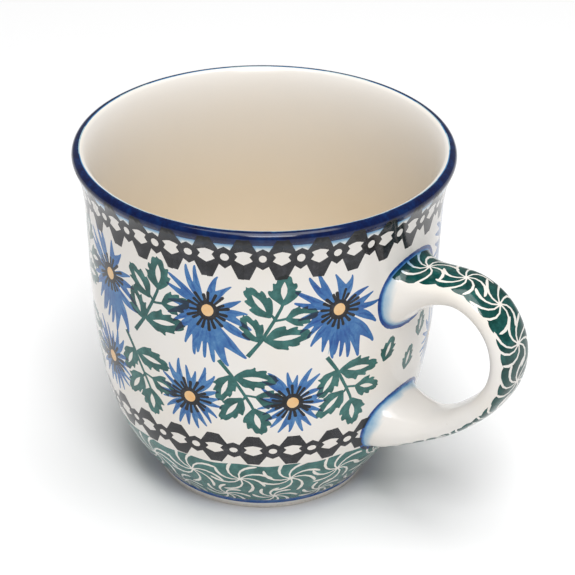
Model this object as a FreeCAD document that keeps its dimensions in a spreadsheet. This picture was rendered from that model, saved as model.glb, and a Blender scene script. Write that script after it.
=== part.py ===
import FreeCAD, Part
import Sketcher
import math
import os

# A stoneware mug: a thrown cup, a pulled handle luted on with slip, and the glaze over both.
# Millimetres.  +Z is up, the origin is on the cup's axis in its standing plane, and the
# handle points along +X.

DOC = FreeCAD.newDocument("stoneware_mug")

# Overall sizes of the fired clay, then the glaze and the joints.
SIZES = {
    "cup_height": 96.65,
    "rim_radius": 50.65,
    "foot_radius": 29.25,
    "wall_thickness": 3.6,
    "floor_thickness": 5.5,
    "lip_bead_radius": 1.4,
    "lip_outer_lean": 25.0,
    "lip_inner_lean": 35.0,
    "lip_lead_outer": 4.6,
    "lip_lead_inner": 3.0,
    "foot_band_height": 2.2,
    "foot_ring_width": 4.6,
    "foot_edge_radius": 0.7,
    "recess_depth": 3.4,
    "recess_corner_radius": 1.6,
    "recess_glaze_share": 0.4,
    "glaze_thickness": 0.35,
    "slip_thickness": 1.0,
    "bowl_lift": 0.55,
    "bowl_middle": 0.5,
    "handle_reach": 27.15,
    "handle_burial": 5.0,
    "handle_proud": 0.4,
    "strap_half_depth": 3.0,
    "strap_half_width": 6.9,
    "upper_root_swell": 0.838,
    "lower_root_swell": 0.630,
    "section_crown": 1.08,
    "section_shoulder": 0.84,
    "joint_split_level": 0.5,
}

# Control points of the wall's outer curve: how far the wall has swelled from the foot
# radius towards the rim radius, and the level as a share of the cup's height.
WALL_SHAPE = [
    (0.159, 0.070),
    (0.513, 0.168),
    (0.756, 0.393),
    (0.825, 0.610),
    (0.848, 0.859),
]

# Stations along the handle between its roots: reach outward from the rim radius as a share
# of the handle's reach, level as a share of the cup's height, heading in degrees above +X,
# and the half depth and half width as multiples of the strap's own.
HANDLE_SHAPE = [
    (0.031, 0.737, 6.0, 1.92, 1.30),
    (0.160, 0.752, 11.0, 1.43, 1.17),
    (0.318, 0.764, 7.0, 1.22, 1.07),
    (0.510, 0.767, -10.0, 1.08, 1.03),
    (0.750, 0.740, -38.0, 1.03, 1.03),
    (0.927, 0.683, -62.0, 1.00, 1.01),
    (1.000, 0.608, -86.0, 1.00, 1.00),
    (0.956, 0.528, -108.0, 0.97, 0.985),
    (0.816, 0.458, -127.0, 0.95, 0.97),
    (0.617, 0.398, -138.0, 0.95, 0.96),
    (0.392, 0.3475, -147.0, 1.00, 0.96),
    (0.182, 0.3175, -158.0, 1.20, 1.04),
    (-0.013, 0.302, -170.0, 1.70, 1.25),
]

# The roots: level, outward heading, and the half depth and half width buried in the wall and just
# proud of it.
UPPER_ROOT = (0.716, -2.0, 3.50, 1.65, 2.92, 1.54)
LOWER_ROOT = (0.289, -18.0, 3.20, 1.62, 2.75, 1.54)


def cell(name):
    return "Sizes." + name


def fill_sheet():
    sheet = DOC.addObject("Spreadsheet::Sheet", "Sizes")
    rows = dict(SIZES)
    for i, (swell, level) in enumerate(WALL_SHAPE):
        rows["wall_swell_%s" % LETTERS[i]] = swell
        rows["wall_level_%s" % LETTERS[i]] = level
    for i, station in enumerate(HANDLE_SHAPE):
        for word, number in zip(STATION_WORDS, station):
            rows["station_%s_%s" % (LETTERS[i], word)] = number
    for side, root in (("upper", UPPER_ROOT), ("lower", LOWER_ROOT)):
        for word, number in zip(ROOT_WORDS, root):
            rows["%s_root_%s" % (side, word)] = number
    for row, (name, number) in enumerate(rows.items(), start=1):
        sheet.set("A%d" % row, name)
        sheet.set("B%d" % row, str(number))
        sheet.setAlias("B%d" % row, name)
    DOC.recompute()
    return sheet


LETTERS = "abcdefghijklmnopqr"
STATION_WORDS = ("out", "level", "heading", "depth", "width")
ROOT_WORDS = ("level", "heading", "buried_depth", "buried_width", "proud_depth", "proud_width")
SHEET = fill_sheet()


def number(expression):
    return float(SHEET.evalExpression(expression))


def shifted(point, out, up):
    """A point, given as a pair of expressions, moved outward and upward."""
    return ("%s + (%s)" % (point[0], out), "%s + (%s)" % (point[1], up))


def origin_plane(body, role):
    for feature in body.Origin.OriginFeatures:
        if feature.Role == role:
            return feature


def new_body(name):
    body = DOC.addObject("PartDesign::Body", name)
    body.Label = name
    return body


def new_sketch(body, name, role):
    sketch = body.newObject("Sketcher::SketchObject", name)
    sketch.AttachmentSupport = (origin_plane(body, role), [""])
    sketch.MapMode = "FlatFace"
    return sketch


def bind(sketch, constraint, expression):
    index = sketch.addConstraint(constraint)
    sketch.setExpression("Constraints[%d]" % index, expression)


def pin(sketch, geo, pos, point):
    """Hold one sketch point at a pair of expressions."""
    across, up = point
    if across == "0":
        sketch.addConstraint(Sketcher.Constraint("PointOnObject", geo, pos, -2))
    else:
        bind(sketch, Sketcher.Constraint("DistanceX", -1, 1, geo, pos, number(across)), across)
    if up == "0":
        sketch.addConstraint(Sketcher.Constraint("PointOnObject", geo, pos, -1))
    else:
        bind(sketch, Sketcher.Constraint("DistanceY", -1, 1, geo, pos, number(up)), up)


def vector(point):
    return FreeCAD.Vector(number(point[0]), number(point[1]), 0)


def add_curve(sketch, poles, closed=False):
    """A smooth curve whose control points are each held by the sheet."""
    curve = Part.BSplineCurve()
    curve.buildFromPoles([vector(p) for p in poles], closed, 3)
    geo = sketch.addGeometry(curve, False)
    sketch.exposeInternalGeometry(geo)
    for i, pole in enumerate(poles):
        pin(sketch, geo + 1 + i, 3, pole)
    return geo


def add_line(sketch, start, end):
    return sketch.addGeometry(Part.LineSegment(vector(start), vector(end)), False)


def add_arc(sketch, centre, radius, first, last):
    circle = Part.Circle(vector(centre), FreeCAD.Vector(0, 0, 1), number(radius))
    arc = Part.ArcOfCircle(circle, math.radians(number(first)), math.radians(number(last)))
    geo = sketch.addGeometry(arc, False)
    bind(sketch, Sketcher.Constraint("Radius", geo, number(radius)), radius)
    return geo


def outline(sketch, pieces):
    """A closed outline of lines, arcs and curves, each joint held once by the sheet."""
    made = []
    for piece in pieces:
        kind = piece[0]
        if kind == "line":
            made.append((add_line(sketch, piece[1], piece[2]), 1, 2, False, piece[1]))
        elif kind == "curve":
            made.append((add_curve(sketch, piece[1]), 1, 2, True, piece[1][0]))
        elif kind == "arc":
            made.append((add_arc(sketch, *piece[2:]), 1, 2, False, piece[1]))
        else:
            made.append((add_arc(sketch, *piece[2:]), 2, 1, False, piece[1]))
    for before, after in zip(made[-1:] + made[:-1], made):
        joint = Sketcher.Constraint("Coincident", before[0], before[2], after[0], after[1])
        sketch.addConstraint(joint)
        if not (before[3] or after[3]):
            pin(sketch, after[0], after[1], after[4])


def turned(name, pieces):
    """A body turned about the cup's axis from one closed outline."""
    body = new_body(name)
    sketch = new_sketch(body, name + "_outline", "YZ_Plane")
    outline(sketch, pieces)
    DOC.recompute()
    turning = body.newObject("PartDesign::Revolution", name + "_turning")
    turning.Profile = sketch
    turning.ReferenceAxis = (sketch, ["V_Axis"])
    turning.Angle = 360
    DOC.recompute()
    sketch.Visibility = False
    return body


def wall_radius(swell):
    return "%s + (%s - %s) * %s" % (
        cell("foot_radius"), cell("rim_radius"), cell("foot_radius"), cell(swell))


def wall_pole(index):
    letter = LETTERS[index]
    return (wall_radius("wall_swell_" + letter),
            "%s * %s" % (cell("cup_height"), cell("wall_level_" + letter)))


def lip_centre():
    return ("%s - %s" % (cell("rim_radius"), cell("lip_bead_radius")),
            "%s - %s" % (cell("cup_height"), cell("lip_bead_radius")))


def lip_point(skin, angle):
    """A point on the rounded lip, a skin thickness off the clay, at an angle from +X."""
    reach = "(%s + %s)" % (cell("lip_bead_radius"), skin)
    return shifted(lip_centre(), "%s * cos(%s)" % (reach, angle), "%s * sin(%s)" % (reach, angle))


def outer_start_angle():
    return "(-%s)" % cell("lip_outer_lean")


def inner_end_angle():
    return "(180 - %s)" % cell("lip_inner_lean")


def outer_curve(skin):
    """The wall's outer curve from the foot band up to the lip, a skin thickness out."""
    poles = [("%s + %s" % (cell("foot_radius"), skin), cell("foot_band_height"))]
    for i in range(len(WALL_SHAPE)):
        poles.append(shifted(wall_pole(i), skin, "0"))
    end = lip_point(skin, outer_start_angle())
    lead = cell("lip_lead_outer")
    lean = cell("lip_outer_lean")
    poles.append(shifted(end, "-%s * sin(%s)" % (lead, lean), "-%s * cos(%s)" % (lead, lean)))
    poles.append(end)
    return poles


def floor_level():
    return "%s + %s" % (cell("recess_depth"), cell("floor_thickness"))


def inner_curve(skin):
    """The inside curve from the lip down to the middle of the floor, a skin thickness in."""
    wall = cell("wall_thickness")
    start = lip_point(skin, inner_end_angle())
    lead = cell("lip_lead_inner")
    lean = cell("lip_inner_lean")
    poles = [start]
    poles.append(shifted(start, "-%s * sin(%s)" % (lead, lean), "-%s * cos(%s)" % (lead, lean)))
    for i in (4, 3, 2):
        poles.append(shifted(wall_pole(i), "-%s - %s" % (wall, skin), "0"))
    lift = "%s * %s + %s" % (wall, cell("bowl_lift"), skin)
    poles.append(shifted(wall_pole(1), "-%s - %s" % (wall, skin), lift))
    level = "%s + %s" % (floor_level(), skin)
    corner = "%s - %s - %s" % (wall_pole(0)[0], wall, skin)
    poles.append((corner, level))
    poles.append(("(%s) * %s" % (corner, cell("bowl_middle")), level))
    poles.append(("0", level))
    return poles


def ring_inner():
    return "%s - %s" % (cell("foot_radius"), cell("foot_ring_width"))


def cup_body():
    edge = cell("foot_edge_radius")
    corner = cell("recess_corner_radius")
    depth = cell("recess_depth")
    inner = ring_inner()
    outer = cell("foot_radius")
    ceiling = ("%s - %s" % (inner, corner), depth)
    shoulder = (inner, "%s - %s" % (depth, corner))
    rim = outer_curve("0")
    inside = inner_curve("0")
    return turned("cup_body", [
        ("line", ("0", depth), ceiling),
        ("arc_back", ceiling, (ceiling[0], shoulder[1]), corner, "0", "90"),
        ("line", shoulder, (inner, edge)),
        ("arc", (inner, edge), ("%s + %s" % (inner, edge), edge), edge, "180", "270"),
        ("line", ("%s + %s" % (inner, edge), "0"), ("%s - %s" % (outer, edge), "0")),
        ("arc", ("%s - %s" % (outer, edge), "0"), ("%s - %s" % (outer, edge), edge), edge,
         "270", "360"),
        ("line", (outer, edge), rim[0]),
        ("curve", rim),
        ("arc", rim[-1], lip_centre(), cell("lip_bead_radius"), outer_start_angle(),
         inner_end_angle()),
        ("curve", inside),
        ("line", inside[-1], ("0", depth)),
    ])


def wall_envelope(name, skin):
    """Everything inside the wall's outer curve, used to trim what is joined to the wall."""
    poles = outer_curve(skin)
    return turned(name, [
        ("line", ("0", poles[0][1]), poles[0]),
        ("curve", poles),
        ("line", poles[-1], ("0", poles[-1][1])),
        ("line", ("0", poles[-1][1]), ("0", poles[0][1])),
    ])


def outside_skin():
    """The dipped coat from the foot band to the crest of the lip."""
    clay = outer_curve("0")
    coat = outer_curve(cell("glaze_thickness"))
    crest_clay = lip_point("0", "90")
    crest_coat = lip_point(cell("glaze_thickness"), "90")
    return turned("outside_coat", [
        ("line", clay[0], coat[0]),
        ("curve", coat),
        ("arc", coat[-1], lip_centre(),
         "%s + %s" % (cell("lip_bead_radius"), cell("glaze_thickness")),
         outer_start_angle(), "90"),
        ("line", crest_coat, crest_clay),
        ("arc_back", crest_clay, lip_centre(), cell("lip_bead_radius"), outer_start_angle(),
         "90"),
        ("curve", clay[::-1]),
    ])


def inside_glaze():
    """The poured liner from the crest of the lip to the middle of the floor."""
    clay = inner_curve("0")
    coat = inner_curve(cell("glaze_thickness"))
    crest_clay = lip_point("0", "90")
    crest_coat = lip_point(cell("glaze_thickness"), "90")
    return turned("inside_glaze", [
        ("line", crest_clay, crest_coat),
        ("arc", crest_coat, lip_centre(),
         "%s + %s" % (cell("lip_bead_radius"), cell("glaze_thickness")), "90",
         inner_end_angle()),
        ("curve", coat),
        ("line", coat[-1], clay[-1]),
        ("curve", clay[::-1]),
        ("arc_back", clay[0], lip_centre(), cell("lip_bead_radius"), "90", inner_end_angle()),
    ])


def base_glaze():
    """The coat wiped into the recess under the foot ring."""
    coat = cell("glaze_thickness")
    corner = cell("recess_corner_radius")
    depth = cell("recess_depth")
    inner = ring_inner()
    turn = "%s - %s" % (inner, corner)
    height = "%s - %s" % (depth, corner)
    edge = cell("foot_edge_radius")
    stop = "%s + (%s - %s) * %s" % (edge, height, edge, cell("recess_glaze_share"))
    shell = "%s - %s" % (inner, coat)
    under = "%s - %s" % (depth, coat)
    return turned("base_glaze", [
        ("line", ("0", under), (turn, under)),
        ("arc_back", (turn, under), (turn, height), "%s - %s" % (corner, coat), "0", "90"),
        ("line", (shell, height), (shell, stop)),
        ("line", (shell, stop), (inner, stop)),
        ("line", (inner, stop), (inner, height)),
        ("arc", (inner, height), (turn, height), corner, "0", "90"),
        ("line", (turn, depth), ("0", depth)),
        ("line", ("0", depth), ("0", under)),
    ])


def station_sketch(body, name, place, heading, depth, width):
    """One cross-section of the handle, square to the handle's run at that station."""
    sketch = new_sketch(body, name, "XY_Plane")
    turn = "90 - (%s)" % heading
    axis = FreeCAD.Vector(0, 1, 0)
    rotation = FreeCAD.Rotation(axis, number(turn))
    base = FreeCAD.Vector(number(place[0]), 0, number(place[1]))
    sketch.AttachmentOffset = FreeCAD.Placement(base, rotation)
    sketch.setExpression("AttachmentOffset.Base.x", place[0])
    sketch.setExpression("AttachmentOffset.Base.z", place[1])
    sketch.setExpression("AttachmentOffset.Rotation.Angle", turn)
    crown = cell("section_crown")
    shoulder = cell("section_shoulder")
    poles = []
    for along, aside in SECTION_CORNERS:
        share = crown if 0 in (along, aside) else shoulder
        poles.append(("(%s) * %s * %d" % (depth, share, along) if along else "0",
                      "(%s) * %s * %d" % (width, share, aside) if aside else "0"))
    add_curve(sketch, poles, True)
    return sketch


SECTION_CORNERS = [(1, 0), (1, 1), (0, 1), (-1, 1), (-1, 0), (-1, -1), (0, -1), (1, -1)]


def root_stations(side, swell, flip, order):
    """The two stations of one root: buried in the wall and standing just proud of it."""
    level = "%s * %s" % (cell("cup_height"), cell(side + "_root_level"))
    heading = cell(side + "_root_heading")
    stations = []
    for word in order:
        run = "-" + cell("handle_burial") if word == "buried" else cell("handle_proud")
        across = "%s + (%s) * cos(%s)" % (wall_radius(swell), run, heading)
        up = "%s + (%s) * sin(%s)" % (level, run, heading)
        stations.append(((across, up), "%s - %d" % (heading, flip),
                         cell("%s_root_%s_depth" % (side, word)),
                         cell("%s_root_%s_width" % (side, word))))
    return stations


def handle_stations():
    stations = root_stations("upper", "upper_root_swell", 0, ("buried", "proud"))
    for i in range(len(HANDLE_SHAPE)):
        out, level, heading, depth, width = [
            cell("station_%s_%s" % (LETTERS[i], word)) for word in STATION_WORDS]
        across = "%s + %s * %s" % (cell("rim_radius"), cell("handle_reach"), out)
        stations.append(((across, "%s * %s" % (cell("cup_height"), level)), heading, depth,
                         width))
    return stations + root_stations("lower", "lower_root_swell", 180, ("proud", "buried"))


def handle_blank(name, skin):
    """The whole pulled loop, a skin thickness off the clay, with its ends in the wall."""
    body = new_body(name)
    sketches = []
    for i, (place, heading, depth, width) in enumerate(handle_stations()):
        half_depth = "%s * %s + %s" % (cell("strap_half_depth"), depth, skin)
        half_width = "%s * %s + %s" % (cell("strap_half_width"), width, skin)
        sketches.append(station_sketch(body, "%s_station_%s" % (name, LETTERS[i]), place,
                                       heading, half_depth, half_width))
    DOC.recompute()
    loop = body.newObject("PartDesign::AdditiveLoft", name + "_loop")
    loop.Profile = sketches[0]
    loop.Sections = sketches[1:]
    DOC.recompute()
    for sketch in sketches:
        sketch.Visibility = False
    return body


def joined(kind, label, base, tool):
    """A boolean of two shapes."""
    result = DOC.addObject(kind, label)
    result.Label = label
    result.Base = base
    result.Tool = tool
    DOC.recompute()
    return result


def upper_half():
    """The space above the level that divides the two slip joints."""
    block = DOC.addObject("Part::Box", "upper_half")
    block.setExpression("Length", "4 * %s" % cell("rim_radius"))
    block.setExpression("Width", "4 * %s" % cell("rim_radius"))
    block.setExpression("Height", cell("cup_height"))
    block.setExpression("Placement.Base.x", "-2 * %s" % cell("rim_radius"))
    block.setExpression("Placement.Base.y", "-2 * %s" % cell("rim_radius"))
    block.setExpression("Placement.Base.z",
                        "%s * %s" % (cell("cup_height"), cell("joint_split_level")))
    DOC.recompute()
    return block


def handle_parts():
    """The handle, its two slip joints, its coat, and the cup's coat cut to meet it."""
    blank = handle_blank("handle_blank", "0")
    coated = handle_blank("coated_blank", cell("glaze_thickness"))
    wall = wall_envelope("wall_envelope", "0")
    joint_face = wall_envelope("joint_envelope", cell("slip_thickness"))
    handle = joined("Part::Cut", "handle", blank, joint_face)
    ends = joined("Part::Common", "handle_ends", blank, joint_face)
    slip = joined("Part::Cut", "slip_pads", ends, wall)
    block = upper_half()
    upper = joined("Part::Common", "upper_slip_joint", slip, block)
    lower = joined("Part::Cut", "lower_slip_joint", slip, block)
    coated_loop = joined("Part::Cut", "coated_loop", coated, wall)
    handle_glaze = joined("Part::Cut", "handle_glaze", coated_loop, blank)
    outside = joined("Part::Cut", "outside_glaze", outside_skin(), coated)
    return [handle, upper, lower, handle_glaze, outside]


def main():
    nodes = [cup_body(), inside_glaze(), base_glaze()]
    nodes += handle_parts()
    DOC.recompute()
    for item in DOC.Objects:
        if "Invalid" in item.State or "Error" in item.State:
            raise RuntimeError("%s did not build: %s" % (item.Label, item.State))
    os.makedirs("parts", exist_ok=True)
    for node in nodes:
        if node.Shape.isNull() or not node.Shape.isValid():
            raise RuntimeError("%s has no valid shape" % node.Label)
        node.Shape.exportStep("parts/%s.step" % node.Label)
        print(node.Label, len(node.Shape.Solids), round(node.Shape.Volume, 2),
              node.Shape.BoundBox)


main()
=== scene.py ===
import bisect
import math
import random

import bmesh
import bpy
from mathutils import Matrix, Vector, noise
from mathutils.geometry import delaunay_2d_cdt


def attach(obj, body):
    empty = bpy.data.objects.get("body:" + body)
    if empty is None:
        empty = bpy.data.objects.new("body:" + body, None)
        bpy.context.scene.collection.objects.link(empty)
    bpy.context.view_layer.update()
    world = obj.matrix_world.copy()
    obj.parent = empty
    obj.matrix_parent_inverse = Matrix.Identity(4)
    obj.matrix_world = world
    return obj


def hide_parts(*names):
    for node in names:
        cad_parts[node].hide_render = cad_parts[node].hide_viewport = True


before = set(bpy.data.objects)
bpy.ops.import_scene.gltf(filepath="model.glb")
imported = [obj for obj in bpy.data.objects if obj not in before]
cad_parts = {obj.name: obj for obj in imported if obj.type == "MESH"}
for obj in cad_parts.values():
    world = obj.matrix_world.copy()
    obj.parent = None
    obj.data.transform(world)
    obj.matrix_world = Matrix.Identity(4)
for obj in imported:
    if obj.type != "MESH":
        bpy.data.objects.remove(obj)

bl_info = {
    "name": "Painted stoneware mug",
    "version": (1, 0, 0),
    "blender": (4, 5, 0),
    "location": "View3D > Sidebar > Mug",
    "description": "Builds the painted glaze of a stoneware mug over its clay model",
    "category": "Add Mesh",
}

MM = 0.001
TAU = 2.0 * math.pi


# ---------------------------------------------------------------- settings


def length_of(name, description, default):
    return bpy.props.FloatProperty(name=name, description=description, default=default,
                                   unit="LENGTH")


def colour_of(name, description, default):
    return bpy.props.FloatVectorProperty(name=name, description=description, default=default,
                                         subtype="COLOR", min=0, max=1)


class MugSizes(bpy.types.PropertyGroup):
    """Sizes of the glazed surface and of the studio, in metres."""

    height: length_of("Height", "Foot to the crest of the lip", 0.097)
    rim_radius: length_of("Rim radius", "Axis to the outside of the lip", 0.05097)
    lip_radius: length_of("Lip radius", "Radius of the rounded lip", 0.00175)
    foot_band: length_of("Foot band", "Height of the bare foot below the glaze", 0.0013)
    skin: length_of("Skin", "Thickness modelled for each coat of glaze", 0.00028)
    row_gap: length_of("Row gap", "Spacing of the wall's mesh rows", 0.0019)
    column_angle: bpy.props.FloatProperty(
        name="Column angle", description="Spacing of the wall's mesh columns",
        default=math.radians(2.0), subtype="ANGLE")
    camera_distance: length_of("Camera distance", "Camera to the middle of the mug", 0.648)


class MugColours(bpy.types.PropertyGroup):
    """Colours of the clay and the glazes, and what a full coat of each paint lets through."""

    glaze: colour_of("Glaze", "White glaze outside", (0.785, 0.757, 0.72))
    liner: colour_of("Liner", "Cream glaze deep inside the cup", (0.75, 0.66, 0.525))
    clay: colour_of("Clay", "Bare fired clay", (0.78, 0.73, 0.66))
    cobalt: colour_of("Cobalt", "What a full coat of blue lets through", (0.003, 0.044, 0.28))
    green: colour_of("Green", "What a full coat of green lets through", (0.007, 0.078, 0.074))
    black: colour_of("Black", "What a full coat of black lets through", (0.013, 0.014, 0.019))
    yellow: colour_of("Yellow", "What a full coat of yellow lets through", (1.0, 0.66, 0.33))
    floor: colour_of("Floor", "Studio floor", (0.92, 0.92, 0.92))


def sizes():
    return bpy.context.scene.mug_sizes


def colours():
    return bpy.context.scene.mug_colours


# ---------------------------------------------------------------- curves


def clamped_spline(poles, steps):
    """Points on a smooth cubic curve that begins and ends on its outermost control points."""
    spans = len(poles) - 3
    knots = [0.0] * 3 + [float(i) for i in range(spans + 1)] + [float(spans)] * 3
    points = []
    for step in range(steps + 1):
        t = spans * step / steps
        k = min(int(t), spans - 1) + 3
        near = [Vector(poles[k - 3 + j]) for j in range(4)]
        for level in range(1, 4):
            for j in range(3, level - 1, -1):
                i = k - 3 + j
                share = (t - knots[i]) / (knots[i + 4 - level] - knots[i])
                near[j] = near[j - 1].lerp(near[j], share)
        points.append(near[3])
    return points


def arc(centre, radius, first, last, steps):
    """Points on an arc, in degrees from +X."""
    turns = [math.radians(first + (last - first) * i / steps) for i in range(steps + 1)]
    return [centre + radius * Vector((math.cos(a), math.sin(a))) for a in turns]


class Profile:
    """A curve in the (radius, height) plane that is read by the distance along it."""

    def __init__(self, points, start=0.0):
        self.points = points
        self.reach = [start]
        for a, b in zip(points, points[1:]):
            self.reach.append(self.reach[-1] + (b - a).length)
        self.normals = []
        for i in range(len(points)):
            run = points[min(i + 1, len(points) - 1)] - points[max(i - 1, 0)]
            self.normals.append(Vector((run.y, -run.x)).normalized())

    def at(self, s):
        s = min(max(s, self.reach[0]), self.reach[-1])
        i = min(bisect.bisect_right(self.reach, s), len(self.points) - 1)
        share = (s - self.reach[i - 1]) / (self.reach[i] - self.reach[i - 1])
        return (self.points[i - 1].lerp(self.points[i], share),
                self.normals[i - 1].lerp(self.normals[i], share).normalized())

    def radius(self, s):
        return self.at(s)[0].x

    def reach_at_height(self, z):
        for i, point in enumerate(self.points):
            if point.y >= z:
                return self.reach[i]
        return self.reach[-1]

    def point(self, theta, s, lift=0.0):
        place, normal = self.at(s)
        place = place + lift * normal
        around = Vector((math.cos(theta), math.sin(theta), 0.0))
        return (around * place.x + Vector((0, 0, place.y)),
                around * normal.x + Vector((0, 0, normal.y)))


# Control points in millimetres, radius and height: the wall's from the foot band to the lip,
# and the bowl's from the lip to the middle of the floor.
WALL_POLES = [(33.0, 6.77), (40.58, 16.24), (45.78, 37.98), (47.25, 58.96), (47.75, 83.02)]
BOWL_POLES = [(43.45, 83.02), (42.95, 58.96), (41.48, 37.98), (36.28, 18.57), (28.7, 9.25),
              (14.35, 9.25), (0.0, 9.25)]
WALL_FOOT = (29.6, 2.2)
HEM_RADIUS = 29.52
# The lip is an arc, in degrees above level, that a straight lead joins to the wall or the bowl.
LIP_START = -25.0
LIP_END = 145.0
LINER_LAP = 12.0
LIP_LEAD = 4.6
LINER_LEAD = 3.0


def lip_centre():
    size = sizes()
    return Vector((size.rim_radius - size.lip_radius, size.height - size.lip_radius)) / MM


def wall_profile():
    """The outside of the cup from the foot band, over the lip, to the inside of the lip."""
    size = sizes()
    lip = arc(lip_centre(), size.lip_radius / MM, LIP_START, LIP_END, 48)
    lean = math.radians(-LIP_START)
    lead = lip[0] - LIP_LEAD * Vector((math.sin(lean), math.cos(lean)))
    foot = Vector(WALL_FOOT)
    hem = Vector((HEM_RADIUS, size.foot_band / MM))
    poles = [foot] + [Vector(p) for p in WALL_POLES] + [lead, lip[0]]
    return Profile([hem] + clamped_spline(poles, 600) + lip[1:], -(foot - hem).length)


def liner_profile():
    """The inside of the cup from the lip to the middle of the floor."""
    size = sizes()
    lip = arc(lip_centre(), size.lip_radius / MM, LIP_END - LINER_LAP, LIP_END, 4)
    lean = math.radians(180.0 - LIP_END)
    lead = lip[-1] - LINER_LEAD * Vector((math.sin(lean), math.cos(lean)))
    poles = [lip[-1], lead] + [Vector(p) for p in BOWL_POLES]
    return lip[:-1] + clamped_spline(poles, 90)


# ---------------------------------------------------------------- stamps

# Every stamp is drawn flat in millimetres, +y up the wall, about its own centre.

# Petals of a large bloom and of a small one: each petal is its run of pointed tips, as
# degrees clockwise from straight up and length from the heart.
LARGE_BLOOM = [
    [(326, 14.0), (337, 13.4)], [(5, 11.0), (30, 10.2)], [(63, 9.6)], [(84, 10.4), (104, 12.3)],
    [(122, 13.4)], [(143, 16.7), (162, 17.0)], [(172, 15.6), (181, 14.6), (189, 13.6)],
    [(197, 14.7), (209, 12.8), (226, 12.4)], [(241, 11.2), (255, 11.8), (273, 11.2)],
    [(293, 12.8), (306, 14.0)],
]
SMALL_BLOOM = [
    [(318, 11.6), (334, 12.6)], [(352, 10.6), (8, 9.4)], [(24, 12.2), (40, 11.6)],
    [(62, 9.4)], [(80, 9.2), (98, 9.6)], [(118, 9.8), (134, 10.2)],
    [(152, 10.8), (167, 11.4)], [(182, 10.8), (197, 11.4)], [(214, 10.6), (230, 9.8)],
    [(248, 9.2), (263, 10.0)], [(281, 9.4), (299, 10.4)],
]


def polar(degrees, radius):
    """A point at a bearing, clockwise from straight up."""
    turn = math.radians(degrees)
    return Vector((math.sin(turn) * radius, math.cos(turn) * radius))


def oval(across, up, centre=(0, 0), count=18):
    return [Vector((centre[0] + across * math.cos(TAU * i / count),
                    centre[1] + up * math.sin(TAU * i / count))) for i in range(count)]


def softened(loop, rounds=1):
    """Cuts the corners of a loop, so that a brush could have drawn it."""
    for _ in range(rounds):
        cut = []
        for a, b in zip(loop, loop[1:] + loop[:1]):
            cut += [a.lerp(b, 0.24), a.lerp(b, 0.76)]
        loop = cut
    return loop


def petal(tips, rng, heart):
    """One fringed petal that widens from the heart and ends in pointed tips."""
    first, last = tips[0][0], tips[-1][0]
    last += 360.0 if last < first else 0.0
    far = max(length for _, length in tips)
    near = min(length for _, length in tips)
    curl = rng.uniform(-13, 13)
    half = 7.5 if len(tips) > 1 else 9.5

    def place(bearing, radius):
        return polar(bearing + curl * ((radius / far) ** 2 - 0.5), radius)

    loop = [place(first - half, heart), place(first - half * rng.uniform(0.95, 1.15), 0.45 * near),
            place(first - half * 0.88, 0.64 * near), place(first - half * 0.5, tips[0][1] * 0.8),
            place(first - 2.5, tips[0][1] * 0.91)]
    before = None
    for bearing, length in tips:
        bearing += 360.0 if bearing < first else 0.0
        if before:
            middle = (before[0] + bearing) / 2
            dip = min(length, before[1]) * rng.uniform(0.64, 0.74)
            loop += [place(before[0] + 2.3, before[1] * 0.9), place(middle - 0.8, dip),
                     place(middle + 0.8, dip), place(bearing - 2.3, length * 0.9)]
        loop += [place(bearing - 1.2, length), place(bearing + 1.2, length)]
        before = (bearing, length)
    loop += [place(last + 2.5, before[1] * 0.91), place(last + half * 0.5, before[1] * 0.8),
             place(last + half * 0.88, 0.64 * near),
             place(last + half * rng.uniform(0.95, 1.15), 0.45 * near), place(last + half, heart)]
    return softened(loop, 2)


def rod(bearing, inner, outer, width):
    """A short straight dab with a blunt, slightly swollen end."""
    along = polar(bearing, 1.0)
    aside = Vector((along.y, -along.x)) * width / 2
    return [along * inner - aside * 0.7, along * (outer - 0.5) - aside,
            along * (outer - 0.12) - aside * 0.75, along * outer,
            along * (outer - 0.12) + aside * 0.75, along * (outer - 0.5) + aside,
            along * inner + aside * 0.7]


def ribbon(path, widths):
    """A stroke that follows a path, as wide at each point as it is told."""
    left, right = [], []
    for i, point in enumerate(path):
        run = (path[min(i + 1, len(path) - 1)] - path[max(i - 1, 0)]).normalized()
        aside = Vector((-run.y, run.x)) * widths[i] / 2
        left.append(point + aside)
        right.append(point - aside)
    return left + right[::-1]


# Half of a toothed leaf: across and along, as shares of its width and length.
LEAF_SIDE = [
    (0.05, 0.0), (0.22, 0.10), (0.47, 0.24), (0.52, 0.36), (0.60, 0.47), (0.40, 0.47),
    (0.45, 0.58), (0.46, 0.72), (0.29, 0.68), (0.27, 0.82), (0.20, 0.93), (0.06, 0.93),
]


def leaf(length, width, rng):
    """A toothed leaf that grows up from its base, and the bare slit along its middle."""
    right, left = [], []
    for across, along in LEAF_SIDE:
        right.append(Vector((width * across * rng.uniform(0.9, 1.1),
                             length * (along + rng.uniform(-0.015, 0.015)))))
        left.append(Vector((-width * across * rng.uniform(0.9, 1.1),
                            length * (along + rng.uniform(-0.015, 0.015)))))
    tip = Vector((width * rng.uniform(-0.06, 0.06), length))
    outline = softened(right + [tip] + left[::-1])
    half = 0.115 * width
    slit = ribbon([Vector((0, length * f)) for f in (0.20, 0.28, 0.40, 0.54, 0.66, 0.74)],
                  [0.1 * half, half, 1.9 * half, 1.9 * half, half, 0.1 * half])
    return outline, slit


def turned(loop, bearing, base):
    """A loop swung clockwise from straight up and moved to a base point."""
    spin = Matrix.Rotation(-math.radians(bearing), 2)
    return [spin @ p + base for p in loop]


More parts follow.
